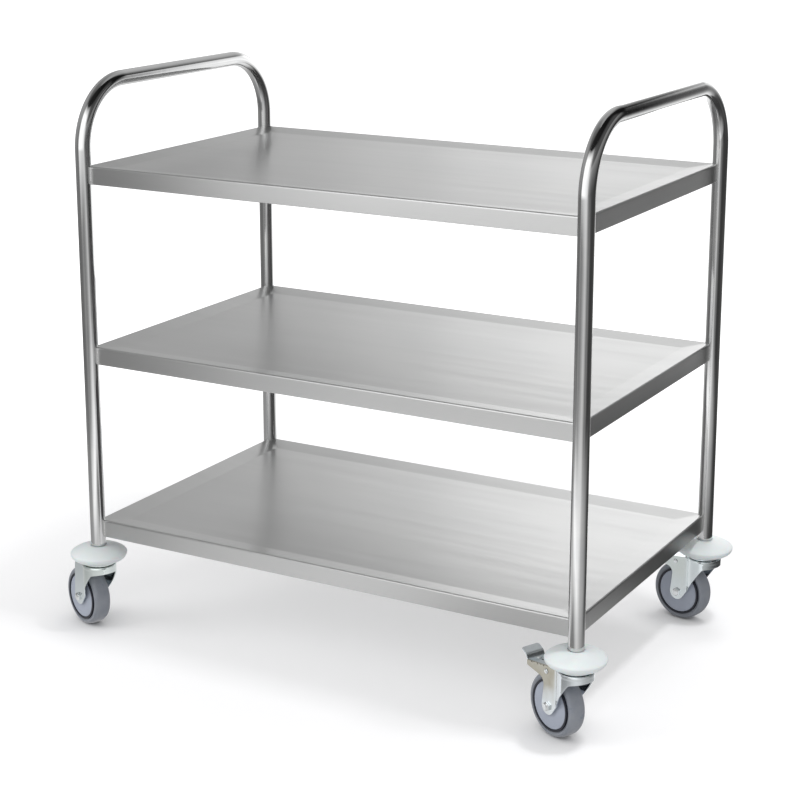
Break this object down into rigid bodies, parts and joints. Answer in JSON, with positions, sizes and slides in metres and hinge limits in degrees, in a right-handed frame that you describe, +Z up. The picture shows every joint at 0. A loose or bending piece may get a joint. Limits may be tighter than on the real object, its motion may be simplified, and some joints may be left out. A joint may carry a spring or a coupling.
{
  "type": "service cart",
  "caption": "Tiered steel service cart: bent round-tube end frames with push handles, sunken sheet shelves with skirts, swivel casters with bumper discs, foot brakes at one end.",
  "frame": {"origin": "on the floor under the middle of the cart's box, casters included", "axes": "+X along the shelves towards the end with the braked casters, +Y across the shelves, +Z up"},
  "size_m": [1.009, 0.619, 0.934],
  "materials": {
    "polished_tube": "mirror-polished stainless steel",
    "brushed_sheet": "brushed stainless steel, satin",
    "zinc_steel": "zinc-plated pressed steel, pale grey",
    "bright_steel": "bright machined steel",
    "bumper_plastic": "pale grey moulded plastic",
    "tyre_rubber": "grey rubber, matte",
    "core_plastic": "dark moulded plastic",
    "disc_plastic": "blue-grey moulded plastic, satin"
  },
  "bodies": {
    "cart": {"left_end_frame": "polished_tube", "right_end_frame": "polished_tube", "bottom_shelf": "brushed_sheet", "middle_shelf": "brushed_sheet", "top_shelf": "brushed_sheet", "front_left_post_insert": "bright_steel", "front_left_bumper": "bumper_plastic", "front_left_swivel_head": "zinc_steel", "front_left_caster_bolt": "bright_steel", "front_right_post_insert": "bright_steel", "front_right_bumper": "bumper_plastic", "front_right_swivel_head": "zinc_steel", "front_right_caster_bolt": "bright_steel", "rear_left_post_insert": "bright_steel", "rear_left_bumper": "bumper_plastic", "rear_left_swivel_head": "zinc_steel", "rear_left_caster_bolt": "bright_steel", "rear_right_post_insert": "bright_steel", "rear_right_bumper": "bumper_plastic", "rear_right_swivel_head": "zinc_steel", "rear_right_caster_bolt": "bright_steel"},
    "front_left_swivel": {"front_left_ball_ring": "bright_steel", "front_left_fork": "zinc_steel", "front_left_axle_bolt": "bright_steel", "front_left_axle_nut": "bright_steel"},
    "front_left_wheel": {"front_left_wheel_core": "core_plastic", "front_left_tyre": "tyre_rubber", "front_left_front_disc": "disc_plastic", "front_left_rear_disc": "disc_plastic"},
    "front_right_swivel": {"front_right_ball_ring": "bright_steel", "front_right_fork": "zinc_steel", "front_right_axle_bolt": "bright_steel", "front_right_axle_nut": "bright_steel", "front_right_pedal_pin": "bright_steel"},
    "front_right_wheel": {"front_right_wheel_core": "core_plastic", "front_right_tyre": "tyre_rubber", "front_right_front_disc": "disc_plastic", "front_right_rear_disc": "disc_plastic"},
    "front_right_pedal": {"front_right_brake_pedal": "zinc_steel", "front_right_brake_leaf": "bright_steel"},
    "rear_left_swivel": {"rear_left_ball_ring": "bright_steel", "rear_left_fork": "zinc_steel", "rear_left_axle_bolt": "bright_steel", "rear_left_axle_nut": "bright_steel"},
    "rear_left_wheel": {"rear_left_wheel_core": "core_plastic", "rear_left_tyre": "tyre_rubber", "rear_left_front_disc": "disc_plastic", "rear_left_rear_disc": "disc_plastic"},
    "rear_right_swivel": {"rear_right_ball_ring": "bright_steel", "rear_right_fork": "zinc_steel", "rear_right_axle_bolt": "bright_steel", "rear_right_axle_nut": "bright_steel", "rear_right_pedal_pin": "bright_steel"},
    "rear_right_wheel": {"rear_right_wheel_core": "core_plastic", "rear_right_tyre": "tyre_rubber", "rear_right_front_disc": "disc_plastic", "rear_right_rear_disc": "disc_plastic"},
    "rear_right_pedal": {"rear_right_brake_pedal": "zinc_steel", "rear_right_brake_leaf": "bright_steel"}
  },
  "joints": [
    {"name": "front_left_swivel_turn", "type": "hinge", "parent": "cart", "child": "front_left_swivel", "pos_m": [-0.41748, -0.2625, 0.119], "axis": [0, 0, 1], "continuous": true},
    {"name": "front_left_wheel_spin", "type": "hinge", "parent": "front_left_swivel", "child": "front_left_wheel", "pos_m": [-0.45456, -0.24752, 0.05], "axis": [0.3746, 0.9272, 0], "continuous": true},
    {"name": "front_right_swivel_turn", "type": "hinge", "parent": "cart", "child": "front_right_swivel", "pos_m": [0.45752, -0.2625, 0.119], "axis": [0, 0, 1], "continuous": true},
    {"name": "front_right_wheel_spin", "type": "hinge", "parent": "front_right_swivel", "child": "front_right_wheel", "pos_m": [0.42157, -0.24497, 0.05], "axis": [0.4384, 0.8988, 0], "continuous": true},
    {"name": "front_right_pedal_press", "type": "hinge", "parent": "front_right_swivel", "child": "front_right_pedal", "pos_m": [0.41798, -0.24321, 0.1045], "axis": [-0.4384, -0.8988, 0], "range_deg": [0, 12]},
    {"name": "rear_left_swivel_turn", "type": "hinge", "parent": "cart", "child": "rear_left_swivel", "pos_m": [-0.41748, 0.2625, 0.119], "axis": [0, 0, 1], "continuous": true},
    {"name": "rear_left_wheel_spin", "type": "hinge", "parent": "rear_left_swivel", "child": "rear_left_wheel", "pos_m": [-0.45506, 0.27618, 0.05], "axis": [0.342, 0.9397, 0], "continuous": true},
    {"name": "rear_right_swivel_turn", "type": "hinge", "parent": "cart", "child": "rear_right_swivel", "pos_m": [0.45752, 0.2625, 0.119], "axis": [0, 0, 1], "continuous": true},
    {"name": "rear_right_wheel_spin", "type": "hinge", "parent": "rear_right_swivel", "child": "rear_right_wheel", "pos_m": [0.41855, 0.2715, 0.05], "axis": [0.225, 0.9744, 0], "continuous": true},
    {"name": "rear_right_pedal_press", "type": "hinge", "parent": "rear_right_swivel", "child": "rear_right_pedal", "pos_m": [0.41465, 0.2724, 0.1045], "axis": [-0.225, -0.9744, 0], "range_deg": [0, 12]}
  ]
}
